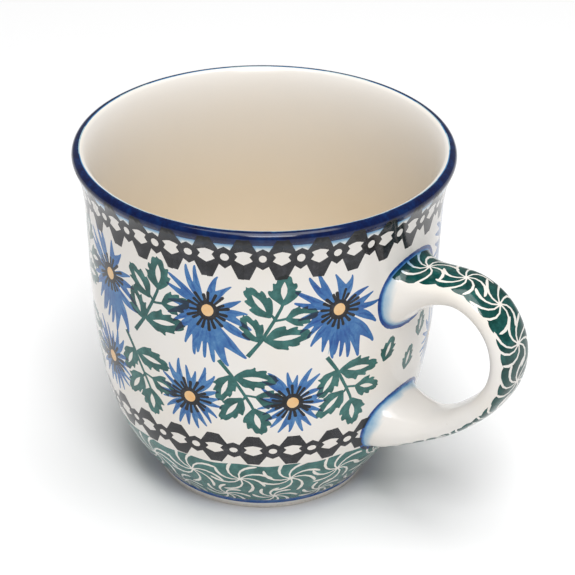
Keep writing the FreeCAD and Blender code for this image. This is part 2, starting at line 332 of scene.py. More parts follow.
# A sprig: its stem, and each leaf's base, bearing, length and width.
SPRIG_STEM = [(0.0, 0.0), (3.3, 4.6), (5.2, 8.2), (7.0, 11.6), (8.4, 14.6), (9.2, 17.0)]
SPRIG_LEAVES = [
    ((3.0, 4.6), -24.0, 9.6, 5.6), ((4.0, 5.0), 84.0, 12.4, 6.4), ((9.6, 11.4), 76.0, 9.2, 5.8),
    ((5.9, 12.0), -36.0, 10.6, 6.0), ((8.9, 15.4), 6.0, 9.8, 7.2),
]
SPRIG_STALKS = [[(6.6, 11.0), (8.2, 11.2), (10.2, 11.6)], [(6.9, 11.4), (6.4, 12.2), (5.6, 13.0)]]


def sprig(rng):
    """A stem of toothed leaves, as solid outlines and bare slits."""
    solids = [ribbon([Vector(p) for p in SPRIG_STEM], [1.25, 1.0, 0.95, 0.9, 0.85, 0.8])]
    holes = []
    for stalk in SPRIG_STALKS:
        solids.append(ribbon([Vector(p) for p in stalk], [0.8, 0.7, 0.8]))
    for base, bearing, length, width in SPRIG_LEAVES:
        outline, slit = leaf(length * rng.uniform(0.95, 1.06), width, rng)
        bearing += rng.uniform(-5, 5)
        solids.append(turned(outline, bearing, Vector(base)))
        holes.append(turned(slit, bearing, Vector(base)))
    return solids, holes


def chain_link(width, rng):
    """One link of the chain: an eyelet between two half teeth, with its bare windows."""
    half = width / 2
    lap = half + 0.04
    side = [(0.0, 3.3), (1.5, 2.3), (half - 1.45, 6.1), (lap, 6.1)]
    top = [(x, y + rng.uniform(-0.12, 0.12)) for x, y in side]
    low = [(x, -y + rng.uniform(-0.12, 0.12)) for x, y in side]
    upper = [(-x, y) for x, y in top[:0:-1]] + top
    lower = [(-x, y) for x, y in low[:0:-1]] + low
    outline = [Vector(p) for p in upper + lower[::-1]]
    window = [(lap, 2.15), (half - 1.15, 1.85), (half - 2.2, 1.4), (half - 1.5, 0.4),
              (half - 2.25, -0.8), (half - 1.3, -1.4), (lap, -2.1)]
    right = [Vector(p) for p in window]
    left = [Vector((-x, y)) for x, y in window[::-1]]
    eye = oval(rng.uniform(0.98, 1.15), rng.uniform(0.98, 1.2), count=12)
    return [outline], [right, left, eye]


def pinwheel(radius, arms, rng, stout):
    """The bare arms of a pinwheel, thin at the hub and stouter outward."""
    holes = [oval(0.62 * stout, 0.62 * stout, count=8)]
    for i in range(arms):
        start = 360.0 * i / arms + rng.uniform(-5, 5)
        reach = radius * rng.uniform(0.86, 1.03)
        path, widths = [], []
        for share, wide in ((0.08, 0.30), (0.3, 0.34), (0.5, 0.42), (0.68, 0.55), (0.84, 0.66),
                            (0.95, 0.52), (1.0, 0.16)):
            path.append(polar(start + 56.0 * share ** 1.3, reach * share))
            widths.append(wide * stout * 1.15)
        holes.append(ribbon(path, widths))
    return holes


# ---------------------------------------------------------------- paint


def depth_of(filter_colour, strength):
    """How strongly a coat of paint darkens each colour."""
    return Vector([-math.log(max(c, 1e-4)) * strength for c in filter_colour])


class Mark:
    """One touch of the brush or stamp: where it paints, where it leaves bare, and its ink."""

    def __init__(self, ink, solids, holes=(), heart=None, reach=1.0, slope=0.0):
        self.ink = ink
        self.solids = solids
        self.holes = holes
        self.heart = heart
        self.reach = reach
        self.slope = slope

    def strength(self, place):
        if self.heart is None or not self.slope:
            return 1.0
        share = min((Vector(place) - self.heart).length / self.reach, 1.0)
        return 1.0 + self.slope * (share - 0.5)


class Sheet:
    """A flat sheet in millimetres that is painted, cut along the paint and then folded."""

    def __init__(self, columns, rows, fold):
        self.columns = columns
        self.rows = rows
        self.fold = fold
        self.marks = []

    def border(self):
        low = [(c, self.rows[0]) for c in self.columns]
        right = [(self.columns[-1], r) for r in self.rows[1:]]
        top = [(c, self.rows[-1]) for c in self.columns[-2::-1]]
        left = [(self.columns[0], r) for r in self.rows[-2:0:-1]]
        return low + right + top + left

    def cut(self):
        """Triangles of the sheet, each with the marks that paint it."""
        points, faces, owners = [], [], []

        def add(loop, owner):
            area = sum(a[0] * b[1] - a[1] * b[0] for a, b in zip(loop, loop[1:] + loop[:1]))
            if area < 0:
                loop = loop[::-1]
            faces.append(list(range(len(points), len(points) + len(loop))))
            points.extend(Vector(p) for p in loop)
            owners.append(owner)

        # Face 0 is the sheet itself, so a triangle that it doesn't cover lies outside.
        add(self.border(), None)
        for mark in self.marks:
            for loop in mark.solids:
                add(loop, (mark, False))
            for loop in mark.holes:
                add(loop, (mark, True))
        # The middle column is kept as an edge, because the unwrap divides the sheet there.
        edges = []
        middle = len(self.columns) // 2
        for i, column in enumerate(self.columns[1:-1], start=1):
            for j, row in enumerate(self.rows):
                if i == middle and j:
                    edges.append((len(points) - 1, len(points)))
                if i == middle or 0 < j < len(self.rows) - 1:
                    points.append(Vector((column, row)))
        flat, _, triangles, _, _, sources = delaunay_2d_cdt(points, edges, faces, 0, 1e-5)
        kept = []
        for triangle, source in zip(triangles, sources):
            if 0 not in source:
                continue
            inside, bare = {}, set()
            for face in source:
                if owners[face]:
                    mark, hole = owners[face]
                    if hole:
                        bare.add(id(mark))
                    else:
                        inside[id(mark)] = mark
            kept.append((triangle, [m for key, m in inside.items() if key not in bare]))
        return flat, kept

    def mesh(self, name, wash=None):
        """The folded sheet as a mesh with its paint on every corner."""
        flat, kept = self.cut()
        used = sorted({i for triangle, _ in kept for i in triangle})
        index = {old: new for new, old in enumerate(used)}
        folded = [self.fold(flat[i].x, flat[i].y) for i in used]
        mesh = bpy.data.meshes.new(name)
        mesh.from_pydata([p * MM for p, _ in folded], [],
                         [[index[i] for i in triangle] for triangle, _ in kept])
        facing = mesh.attributes.new("facing", "FLOAT_VECTOR", "POINT")
        for slot, (_, normal) in zip(facing.data, folded):
            slot.vector = normal
        sheet_place = mesh.attributes.new("flat", "FLOAT_VECTOR", "CORNER")
        paint = mesh.attributes.new("paint", "FLOAT_VECTOR", "CORNER")
        corner = 0
        for triangle, marks in kept:
            for i in triangle:
                place = flat[i]
                depth = wash(place) if wash else Vector((0, 0, 0))
                for mark in marks:
                    depth = depth + mark.ink * mark.strength(place)
                paint.data[corner].vector = depth
                sheet_place.data[corner].vector = (place.x, place.y, 0.0)
                corner += 1
        return mesh


# ---------------------------------------------------------------- the painted wall

# The wall is painted unrolled at one radius, in millimetres round and up from the foot band.
# Bearings on it are degrees round from the handle.
UNROLL = 46.0
WALL_HALF = math.pi * UNROLL
# Each chain: how many links, the bearing of the first, its level and its stretch upward.
UPPER_CHAIN = (32, -54.3, 91.0, 1.08)
LOWER_CHAIN = (26, -64.3, 29.4, 0.90)
LINK_WIDTH = 9.5
# Each painted band: its lower and upper edge.
RIM_PAINT = (95.7, 100.3)
RIM_FADE = 2.0
FOOT_LINE = (-0.25, 2.1)
BAND = (2.1, 23.4)
# Each ring of pinwheels: how many, the bearing of the first, its level and its radius.
BIG_WHEELS = (18, -62.9, 16.7, 8.6)
SMALL_WHEELS = (16, -48.6, 5.3, 6.6)
WHEEL_ARMS = 8
UPPER_BLOOMS = [-30.5, -70.9, -110.9, -151.2, 30.5, 74.5, 118.5, 163.0]
LOWER_BLOOMS = [-44.3, -78.8, -114.3, -149.9, 173.0, 135.6, 98.3, 61.0, 24.0]
UPPER_BLOOM_LEVEL = 74.0
LOWER_BLOOM_LEVEL = 46.4
# Each row of sprigs: how far round from a bloom, its level and its stretch across and up.
UPPER_SPRIGS = (12.0, 61.2, (1.0, 1.0))
LOWER_SPRIGS = (10.7, 59.4, (0.96, -0.96))
BLOOM_RODS = 19
BLOOM_REACH = 15.0
# Loose leaves between the handle's roots: bearing, level and tilt.
LOOSE_LEAVES = [(-11.6, 52.2, 24), (0.6, 45.0, 18), (8.0, 52.8, 10)]
LOOSE_LEAF_SIZE = (7.8, 5.0)
LINE_WIDTH = 0.8
EDGE_STEP = 1.5


def on_wall(profile, loop, degrees, s, stretch=(1.0, 1.0), tilt=0.0, radius=None):
    """A flat stamp laid on the unrolled wall, repeated across the seam where it meets it."""
    spin = Matrix.Rotation(-math.radians(tilt), 2)
    placed = []
    for p in loop:
        p = spin @ Vector((p.x * stretch[0], p.y * stretch[1]))
        up = s + p.y
        across = p.x / (radius or profile.radius(up))
        placed.append((UNROLL * (math.radians(degrees) + across), up))
    across = [p[0] for p in placed]
    loops = [placed]
    if max(across) > WALL_HALF:
        loops.append([(u - 2 * WALL_HALF, v) for u, v in placed])
    if min(across) < -WALL_HALF:
        loops.append([(u + 2 * WALL_HALF, v) for u, v in placed])
    return [loop for loop in loops
            if min(p[0] for p in loop) < WALL_HALF and max(p[0] for p in loop) > -WALL_HALF]


def laid(profile, loops, *place, **turns):
    """Every copy of several stamps laid in one place."""
    return [copy for loop in loops for copy in on_wall(profile, loop, *place, **turns)]


def brushed_edge(s, wobble, seed, waves=0, rise=0.0, phase=0.0):
    """A hand-drawn line all round the wall."""
    line = []
    steps = int(180.0 / EDGE_STEP) + 2
    for i in range(-steps, steps + 1):
        theta = math.radians(i * EDGE_STEP)
        ring = Vector((math.cos(theta) * 4, math.sin(theta) * 4, seed))
        up = s + wobble * noise.noise(ring) + rise * math.cos(waves * theta + phase)
        line.append((theta * UNROLL, up))
    return line


def painted_band(ink, low, high, holes=()):
    return Mark(ink, [low + high[::-1]], holes)


def add_bloom(sheet, profile, petals, place, rng, inks, grow=1.0, heart=2.3):
    """A fringed bloom: petals, stamens, a dark disc and a bright centre."""
    degrees, level = place
    tilt = rng.uniform(-7, 7)
    turns = {"stretch": (grow, grow), "tilt": tilt}
    shape = [petal(tips, rng, heart) for tips in petals]
    centre = Vector((UNROLL * math.radians(degrees), level))
    solids = laid(profile, shape, degrees, level, **turns)
    strength = rng.uniform(0.44, 0.50)
    reach = BLOOM_REACH * grow
    sheet.marks.append(Mark(inks["cobalt"] * strength, solids, heart=centre, reach=reach,
                            slope=rng.uniform(-0.05, 0.2)))
    for loop in solids:
        sheet.marks.append(Mark(inks["cobalt"] * rng.uniform(0.0, 0.09), [loop], heart=centre,
                                reach=reach, slope=rng.uniform(0.2, 1.6)))
    for tips in petals:
        for bearing, length in tips:
            start = rng.uniform(0.38, 0.5) * length
            end = rng.uniform(0.74, 0.92) * length
            path = [polar(bearing + rng.uniform(-2, 2), start + (end - start) * f)
                    for f in (0.0, 0.3, 0.6, 1.0)]
            streak = ribbon(path, [0.15, 0.7, 0.6, 0.12])
            sheet.marks.append(Mark(inks["cobalt"] * rng.uniform(0.05, 0.16),
                                    laid(profile, [streak], degrees, level, **turns)))
    rods = []
    for i in range(BLOOM_RODS):
        bearing = 360.0 * i / BLOOM_RODS + rng.uniform(-4, 4)
        rods.append(rod(bearing, heart, rng.uniform(5.0, 6.4), rng.uniform(0.82, 1.05)))
    disc = oval(2.95, 2.95, count=20)
    disc = [p * rng.uniform(0.96, 1.06) for p in disc]
    eye = oval(1.62, 1.78, (rng.uniform(-0.1, 0.1), rng.uniform(-0.1, 0.1)))
    turns = {"stretch": (grow ** 0.5, grow ** 0.5), "tilt": tilt}
    eyes = laid(profile, [eye], degrees, level, **turns)
    sheet.marks.append(Mark(inks["black"], laid(profile, rods + [disc], degrees, level, **turns),
                            eyes))
    sheet.marks.append(Mark(inks["yellow"], eyes))
    return eyes


def add_sprig(sheet, profile, place, rng, inks, stretch, eyes):
    """A sprig that leaves the blooms' bright centres clear."""
    solids, holes = sprig(rng)
    turns = {"stretch": stretch, "tilt": rng.uniform(-5, 5)}
    ink = inks["green"] * rng.uniform(0.70, 0.84)
    across = UNROLL * math.radians(place[0])
    near = [loop for loop in eyes if abs(loop[0][0] - across) < 25.0]
    sheet.marks.append(Mark(ink, laid(profile, solids, *place, **turns),
                            laid(profile, holes, *place, **turns) + near))


def ring_bearings(count, phase):
    """Even bearings round the wall, each between -180 and 180."""
    return [(phase + 360.0 * i / count + 180.0) % 360.0 - 180.0 for i in range(count)]


def add_chain(sheet, profile, chain, rng, inks):
    """A closed chain of links round the wall."""
    count, phase, level, rise = chain
    radius = profile.radius(level)
    turns = {"stretch": (TAU / count * radius / LINK_WIDTH, rise), "radius": radius}
    for degrees in ring_bearings(count, phase):
        solids, holes = chain_link(LINK_WIDTH, rng)
        sheet.marks.append(Mark(inks["black"] * rng.uniform(0.84, 1.0),
                                laid(profile, solids, degrees, level, **turns),
                                laid(profile, holes, degrees, level, **turns)))


def add_wheels(profile, wheels, rng):
    """The bare pinwheels of one ring round the wall."""
    count, phase, level, radius = wheels
    bare = []
    for degrees in ring_bearings(count, phase):
        arms = pinwheel(radius, WHEEL_ARMS, rng, 1.25)
        bare += laid(profile, arms, degrees, level + rng.uniform(-0.3, 0.3),
                     tilt=rng.uniform(0, 45))
    return bare


def add_rim(sheet, inks):
    """The dark band over the lip, with a thin wash past its upper edge."""
    low = brushed_edge(RIM_PAINT[0], 0.16, 1.0)
    high = brushed_edge(RIM_PAINT[1], 0.10, 2.0)
    sheet.marks.append(painted_band(inks["cobalt"] * 0.60 + inks["green"] * 0.44, low, high))
    thin = brushed_edge(RIM_PAINT[1] + 0.32, 0.08, 3.0)
    sheet.marks.append(painted_band(inks["cobalt"] * 0.10 + inks["green"] * 0.06, high, thin))


def add_flowers(sheet, profile, rng, inks):
    """Two rows of blooms with their sprigs, and the loose leaves by the handle."""
    eyes = []
    for bearings, level, stray, petals, grow in (
            (UPPER_BLOOMS, UPPER_BLOOM_LEVEL, 0.7, LARGE_BLOOM, 1.0),
            (LOWER_BLOOMS, LOWER_BLOOM_LEVEL, 0.5, SMALL_BLOOM, 0.94)):
        for degrees in bearings:
            place = (degrees + rng.uniform(-0.6, 0.6), level + rng.uniform(-stray, stray))
            eyes += add_bloom(sheet, profile, petals, place, rng, inks, grow=grow)
    for bearings, (onward, level, stretch) in ((UPPER_BLOOMS[1:], UPPER_SPRIGS),
                                               (LOWER_BLOOMS, LOWER_SPRIGS)):
        for degrees in bearings:
            add_sprig(sheet, profile, (degrees + onward, level), rng, inks, stretch, eyes)
    for degrees, level, tilt in LOOSE_LEAVES:
        outline, slit = leaf(*LOOSE_LEAF_SIZE, rng)
        sheet.marks.append(Mark(inks["green"] * 0.8,
                                laid(profile, [outline], degrees, level, tilt=tilt),
                                laid(profile, [slit], degrees, level, tilt=tilt)))


def add_lower_band(sheet, profile, rng, inks):
    """The green band with its bare pinwheels, and the blue line at the foot."""
    low = brushed_edge(BAND[0], 0.10, 4.0)
    high = brushed_edge(BAND[1], 0.25, 5.0, BIG_WHEELS[0], 0.35, math.radians(60))
    bare = add_wheels(profile, BIG_WHEELS, rng) + add_wheels(profile, SMALL_WHEELS, rng)
    sheet.marks.append(painted_band(inks["green"] * 0.7, low, high, bare))
    low = brushed_edge(FOOT_LINE[0], 0.0, 6.0)
    high = brushed_edge(FOOT_LINE[1], 0.12, 7.0)
    sheet.marks.append(painted_band(inks["cobalt"] * 0.66, low, high))


def add_root_line(sheet, ring, inks):
    """The blue line round one root of the handle."""
    middle = sum((Vector(p) for p in ring), Vector((0, 0))) / len(ring)
    loop = []
    for i, p in enumerate(ring):
        away = Vector(p) - middle
        wave = noise.noise(Vector((math.cos(TAU * i / len(ring)) * 2,
                                   math.sin(TAU * i / len(ring)) * 2, middle.y)))
        loop.append(tuple(middle + away + away.normalized() * (LINE_WIDTH + 0.25 * wave)))
    sheet.marks.append(Mark(inks["cobalt"] * 0.85, [loop]))


def wall_marks(sheet, profile, inks, footprints):
    """Everything painted on the wall."""
    rng = random.Random(7)
    add_rim(sheet, inks)
    add_chain(sheet, profile, UPPER_CHAIN, rng, inks)
    add_chain(sheet, profile, LOWER_CHAIN, rng, inks)
    add_flowers(sheet, profile, rng, inks)
    add_lower_band(sheet, profile, rng, inks)
    for ring in footprints:
        add_root_line(sheet, ring, inks)


def rim_wash(inks):
    """The blue that softens the rim band's lower edge and runs down a little."""

    def wash(place):
        patch = noise.noise(Vector((place.x * 0.06, place.y * 0.3, 9.0)))
        soft = 1.0 - (RIM_PAINT[0] + 0.4 - place.y) / (RIM_FADE + 0.5 * patch)
        return inks["cobalt"] * 0.5 * min(max(soft, 0.0), 1.0) ** 1.5 * (place.y < RIM_PAINT[1])

    return wash


def ink_set():
    colour = colours()
    return {name: depth_of(getattr(colour, name), 1.0)
            for name in ("cobalt", "green", "black", "yellow")}


def spaced(first, last, gap):
    """Even steps from first to last, as near to the gap as they come."""
    count = max(1, round((last - first) / gap))
    return [first + (last - first) * i / count for i in range(count + 1)]


def weld_seam(mesh):
    """Joins the sheet's two long edges and returns the mesh as a bmesh."""
    work = bmesh.new()
    work.from_mesh(mesh)
    rim = [v for v in work.verts if v.is_boundary]
    bmesh.ops.remove_doubles(work, verts=rim, dist=2e-6)
    return work


def open_loops(work):
    """The open edges of a tube, as one list for each end, lowest first."""
    left = [e for e in work.edges if e.is_boundary]
    loops = []
    while left:
        edge = left.pop()
        loop, ends = [edge], list(edge.verts)
        while ends:
            vert = ends.pop()
            for other in vert.link_edges:
                if other in left:
                    left.remove(other)
                    loop.append(other)
                    ends.append(other.other_vert(vert))
        loops.append(loop)
    return sorted(loops, key=lambda run: min(v.co.z for e in run for v in e.verts))


# How far up the OFBake UV map the two halves of a sheet start, and how tall each is.
PAINTED_STRIPS = (0.004, 0.494, 0.482)
HIDDEN_STRIPS = (0.980, 0.989, 0.007)
STRIP_MARGIN = 0.004


def unwrap_strips(mesh, half, low, high):
    """Lays the two halves of the sheet one above the other in the OFBake UV map."""
    uv = mesh.uv_layers.new(name="OFBake")
    flat = mesh.attributes["flat"].data
    for polygon in mesh.polygons:
        places = [flat[i].vector for i in polygon.loop_indices]
        middle = sum(p.x for p in places) / len(places)
        hidden = all(p.z > 0.5 for p in places)
        first, second, tall = HIDDEN_STRIPS if hidden else PAINTED_STRIPS
        for i, p in zip(polygon.loop_indices, places):
            across = p.x + half if middle < 0 else p.x
            start = first if middle < 0 else second
            uv.data[i].uv = (STRIP_MARGIN + (1.0 - 2.0 * STRIP_MARGIN) * across / half,
                             start + tall * (p.y - low) / (high - low))


def set_facing(mesh):
    """Shades the mesh by the folded surface's own normals."""
    facing = [tuple(item.vector) for item in mesh.attributes["facing"].data]
    mesh.polygons.foreach_set("use_smooth", [True] * len(mesh.polygons))
    mesh.normals_split_custom_set_from_vertices(facing)


def new_piece(name, mesh, material, node):
    """Stands a finished mesh in the scene in place of a node of the clay model."""
    piece = bpy.data.objects.new(name, mesh)
    bpy.context.scene.collection.objects.link(piece)
    mesh.materials.clear()
    mesh.materials.append(material)
    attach(piece, "root")
    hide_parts(node)


def back_of_wall(work, profile, rows):
    """Closes the coat with an inner face, so that it is a thin solid skin."""
    skin = sizes().skin / MM
    facing = work.verts.layers.float_vector["facing"]
    flat = work.loops.layers.float_vector["flat"]
    painted = set(work.faces)
    row, top = open_loops(work)
    for s in rows:
        grown = bmesh.ops.extrude_edge_only(work, edges=row)["geom"]
        verts = [g for g in grown if isinstance(g, bmesh.types.BMVert)]
        fresh = set(verts)
        row = [g for g in grown if isinstance(g, bmesh.types.BMEdge) and fresh.issuperset(g.verts)]
        for v in verts:
            theta = math.atan2(v.co.y, v.co.x)
            place, normal = profile.point(theta, s, -skin)
            v.co = place * MM
            v[facing] = -normal
    bmesh.ops.bridge_loops(work, edges=row + top)
    for face in set(work.faces) - painted:
        middle = face.calc_center_median()
        bearing = math.atan2(middle.y, middle.x)
        for loop in face.loops:
            place = loop.vert.co
            turn = math.remainder(math.atan2(place.y, place.x) - bearing, TAU)
            loop[flat] = (UNROLL * (bearing + turn), place.z / MM, 1.0)


# ---------------------------------------------------------------- the handle

# Stations along the glazed handle from the upper root to the lower: reach from the axis and
# height, heading above +X in degrees, half depth and half width, all in millimetres.
HANDLE_RUN = [
    (42.2, 69.4, -2.0, 10.85, 11.7), (47.55, 69.2, -2.0, 9.1, 11.0), (51.5, 71.2, 6.0, 6.1, 9.3),
    (55.0, 72.7, 11.0, 4.65, 8.4), (59.3, 73.8, 7.0, 4.0, 7.7), (64.5, 74.1, -10.0, 3.6, 7.45),
    (71.0, 71.5, -38.0, 3.45, 7.45), (75.8, 66.0, -62.0, 3.35, 7.3),
    (77.77, 58.8, -86.0, 3.35, 7.25), (76.6, 51.0, -108.0, 3.25, 7.15),
    (72.8, 44.3, -127.0, 3.2, 7.05), (67.4, 38.5, -138.0, 3.2, 6.95),
    (61.3, 33.6, -147.0, 3.35, 6.95), (55.6, 30.7, -158.0, 3.95, 7.55),
    (50.3, 29.2, -170.0, 5.45, 9.0), (43.1, 27.9, -198.0, 8.6, 11.0),
    (37.95, 29.5, -198.0, 9.95, 11.5),
]
# Corners of the handle's cross-section, outward and sideways, which its curve rounds off.
SECTION_CORNERS = [(1, 0), (1, 1), (0, 1), (-1, 1), (-1, 0), (-1, -1), (0, -1), (1, -1)]
SECTION_CROWN = 1.08
SECTION_SHOULDER = 0.84
HANDLE_STEPS = 460
HANDLE_COLUMNS = 96
HANDLE_ROWS = 190
# The glaze's fillet at each root: its rows, its length on the handle and on the wall, and how
# far its edge sinks under the wall's glaze.
FILLET_ROWS = 9
FILLET_RUN = 2.6
FILLET_SPREAD = 0.9
FILLET_SINK = 0.04
HANDLE_UNROLL = 5.4


def along_stations(stations, count):
    """Smoothly interpolated stations at even steps of the run's length."""
    marks = [0.0]
    for a, b in zip(stations, stations[1:]):
        marks.append(marks[-1] + math.hypot(b[0] - a[0], b[1] - a[1]))
    slopes = []
    for i in range(len(stations)):
        a, b = max(i - 1, 0), min(i + 1, len(stations) - 1)
        before = marks[i] - marks[a] or marks[b] - marks[i]
        after = marks[b] - marks[i] or before
        slope = []
        for k in range(5):
            rise = (stations[b][k] - stations[i][k]) / after if b > i else None
            fall = (stations[i][k] - stations[a][k]) / before if a < i else rise
            rise = fall if rise is None else rise
            slope.append((rise * before + fall * after) / (before + after))
        slopes.append(slope)
    out = []
    for step in range(count):
        t = marks[-1] * step / (count - 1)
        i = min(bisect.bisect_right(marks, t), len(marks) - 1) - 1
        gap = marks[i + 1] - marks[i]
        f = (t - marks[i]) / gap
        h0, h1 = 2 * f ** 3 - 3 * f ** 2 + 1, f ** 3 - 2 * f ** 2 + f
        h2, h3 = 1 - h0, f ** 3 - f ** 2
        out.append([h0 * stations[i][k] + h1 * gap * slopes[i][k] + h2 * stations[i + 1][k]
                    + h3 * gap * slopes[i + 1][k] for k in range(5)])
    return out


def section_point(turn):
    """A point on the handle's cross-section: outward share and sideways share."""
    t = turn / TAU * len(SECTION_CORNERS)
    i = math.floor(t)
    f = t - i
    weights = ((1 - f) ** 3 / 6, (3 * f ** 3 - 6 * f ** 2 + 4) / 6,
               (-3 * f ** 3 + 3 * f ** 2 + 3 * f + 1) / 6, f ** 3 / 6)
    total = Vector((0, 0))
    for weight, k in zip(weights, range(i - 1, i + 3)):
        out, side = SECTION_CORNERS[k % len(SECTION_CORNERS)]
        share = SECTION_CROWN if 0 in (out, side) else SECTION_SHOULDER
        total += weight * share * Vector((out, side))
    return total


def slide(path, reach, distance):
    """The point at a distance along a polyline whose running lengths are known."""
    i = min(max(bisect.bisect_right(reach, distance), 1), len(path) - 1)
    share = (distance - reach[i - 1]) / (reach[i] - reach[i - 1])
    return path[i - 1].lerp(path[i], share)


def wall_place(profile, point):
    """A point near the wall as its angle and its distance up the wall."""
    return math.atan2(point.y, point.x), profile.reach_at_height(point.z)


class HandleSkin:
    """The handle's glazed surface as a table of rows and columns that meets the wall softly."""

    def __init__(self, profile):
        self.profile = profile
        run = along_stations(HANDLE_RUN, HANDLE_STEPS)
        columns, hits = [], []
        for j in range(HANDLE_COLUMNS + 1):
            turn = TAU * (j / HANDLE_COLUMNS - 0.5)
            out, side = section_point(turn)
            path = []
            for x, z, heading, depth, width in run:
                h = math.radians(heading)
                outward = Vector((-math.sin(h), 0, math.cos(h)))
                path.append(Vector((x, 0, z)) + outward * depth * out
                            - Vector((0, 1, 0)) * width * side)
            reach = [0.0]
            for a, b in zip(path, path[1:]):
                reach.append(reach[-1] + max((b - a).length, 1e-6))
            columns.append((path, reach))
            hits.append(self.crossings(path, reach))
        self.centres = [self.root_centre(columns, hits, end) for end in (0, 1)]
        self.table = [[] for _ in range(HANDLE_ROWS + 2 * FILLET_ROWS)]
        self.footprints = [[], []]
        for (path, reach), ends in zip(columns, hits):
            for i, point in enumerate(self.column(path, reach, ends)):
                self.table[i].append(point)
        middle = HANDLE_COLUMNS // 2
        self.reach = [0.0]
        for a, b in zip(self.table, self.table[1:]):
            self.reach.append(self.reach[-1] + (b[middle] - a[middle]).length)
        self.girth = [sum((b - a).length for a, b in zip(row, row[1:])) / TAU
                      for row in self.table]
        self.normals = [[self.normal_at(i, j) for j in range(HANDLE_COLUMNS + 1)]
                        for i in range(len(self.table))]

    def crossings(self, path, reach):
        """Where a column leaves the wall and where it enters it again."""
        outside = []
        for point in path:
            s = self.profile.reach_at_height(point.z)
            outside.append(math.hypot(point.x, point.y) - self.profile.radius(s))
        first = next(i for i, gap in enumerate(outside) if gap > 0)
        last = next(i for i in range(len(path) - 1, -1, -1) if outside[i] > 0)
        low = outside[first - 1] / (outside[first - 1] - outside[first])
        high = outside[last] / (outside[last] - outside[last + 1])
        return (reach[first - 1] + low * (reach[first] - reach[first - 1]),
                reach[last] + high * (reach[last + 1] - reach[last]))

    def root_centre(self, columns, hits, end):
        """The level on the wall of the middle of one root."""
        places = [wall_place(self.profile, slide(path, reach, ends[end]))
                  for (path, reach), ends in zip(columns, hits)]
        return (max(p[1] for p in places) + min(p[1] for p in places)) / 2

    def fillet(self, path, reach, ends, end):
        """A soft curve from the wall up onto the handle."""
        at = ends[end]
        inward = FILLET_RUN if end == 0 else -FILLET_RUN
        hit, start = slide(path, reach, at), slide(path, reach, at + inward)
        theta, s = wall_place(self.profile, hit)
        radius = self.profile.radius(s)
        away = Vector((theta * radius, s - self.centres[end])).normalized() * FILLET_SPREAD
        theta, s = theta + away.x / radius, s + away.y
        self.footprints[end].append((theta * UNROLL, s))
        foot = self.profile.point(theta, s, -FILLET_SINK)[0]
        curve = []
        for i in range(FILLET_ROWS):
            f = i / FILLET_ROWS
            curve.append((1 - f) ** 2 * foot + 2 * f * (1 - f) * hit + f ** 2 * start)
        return curve

    def column(self, path, reach, ends):
        """One column of the table, from the fillet at one root to the fillet at the other."""
        low, high = ends[0] + FILLET_RUN, ends[1] - FILLET_RUN
        middle = [slide(path, reach, low + (high - low) * i / (HANDLE_ROWS - 1))
                  for i in range(HANDLE_ROWS)]
        return (self.fillet(path, reach, ends, 0) + middle
                + self.fillet(path, reach, ends, 1)[::-1])

    def normal_at(self, i, j):
        up = self.table[min(i + 1, len(self.table) - 1)][j] - self.table[max(i - 1, 0)][j]
        row = self.table[i]
        across = row[j % HANDLE_COLUMNS + 1] - row[(j - 1) % HANDLE_COLUMNS]
        return across.cross(up).normalized()

    def fold(self, u, s):
        """A point of the flat sheet folded onto the handle, with its normal."""
        i = min(max(bisect.bisect_right(self.reach, s), 1), len(self.reach) - 1)
        f = (s - self.reach[i - 1]) / (self.reach[i] - self.reach[i - 1])
        f = min(max(f, 0.0), 1.0)
        across = (u / HANDLE_UNROLL + math.pi) / TAU * HANDLE_COLUMNS
        j = min(max(int(across), 0), HANDLE_COLUMNS - 1)
        g = min(max(across - j, 0.0), 1.0)
        out = []
        for table in (self.table, self.normals):
            low = table[i - 1][j].lerp(table[i - 1][j + 1], g)
            high = table[i][j].lerp(table[i][j + 1], g)
            out.append(low.lerp(high, f))
        return out[0], out[1].normalized()

    def flat(self, side, s):
        """Millimetres round the handle and along it, on the flat sheet."""
        i = min(max(bisect.bisect_right(self.reach, s), 1), len(self.reach) - 1)
        return (side * HANDLE_UNROLL / self.girth[i], s)


WHEEL_GAP = 11.3
FIRST_WHEEL = 5.6
HANDLE_WHEEL = 8.0
BAND_STEPS = 130
BAND_INSET = 0.6
LOBE_GAP = 4.6
LOBE_STAGGER = 1.3


def band_half(share):
    """Half the width of the handle's painted band at a share of its length."""
    return 6.0 + 2.6 * max(0.0, 1.0 - share / 0.14) ** 1.4 + 1.6 * max(0.0, share - 0.9) / 0.1


def handle_marks(sheet, skin, inks):
    """The green band along the handle, its scalloped edges and its bare pinwheels."""
    rng = random.Random(11)
    total = skin.reach[-1]
    sides = ([], [])
    for i in range(BAND_STEPS + 1):
        share = i / BAND_STEPS
        s = BAND_INSET + (total - 2.0 * BAND_INSET) * share
        for k, (loop, sign) in enumerate(zip(sides, (-1, 1))):
            lobe = abs(math.sin(math.pi * (s + LOBE_STAGGER * k) / LOBE_GAP)) ** 0.6
            half = band_half(share) + 0.9 * lobe - 0.5
            loop.append(skin.flat(sign * half, s))
    bare = []
    count = int((total - 4.0) / WHEEL_GAP)
    for i in range(count + 1):
        middle = FIRST_WHEEL + WHEEL_GAP * i
        turn = Matrix.Rotation(rng.uniform(0, TAU / WHEEL_ARMS), 2)
        for arm in pinwheel(HANDLE_WHEEL, WHEEL_ARMS, rng, 1.15):
            bare.append([skin.flat(p.x, middle + p.y) for p in [turn @ q for q in arm]])
    sheet.marks.append(Mark(inks["green"] * 0.98, [sides[1] + sides[0][::-1]], bare))


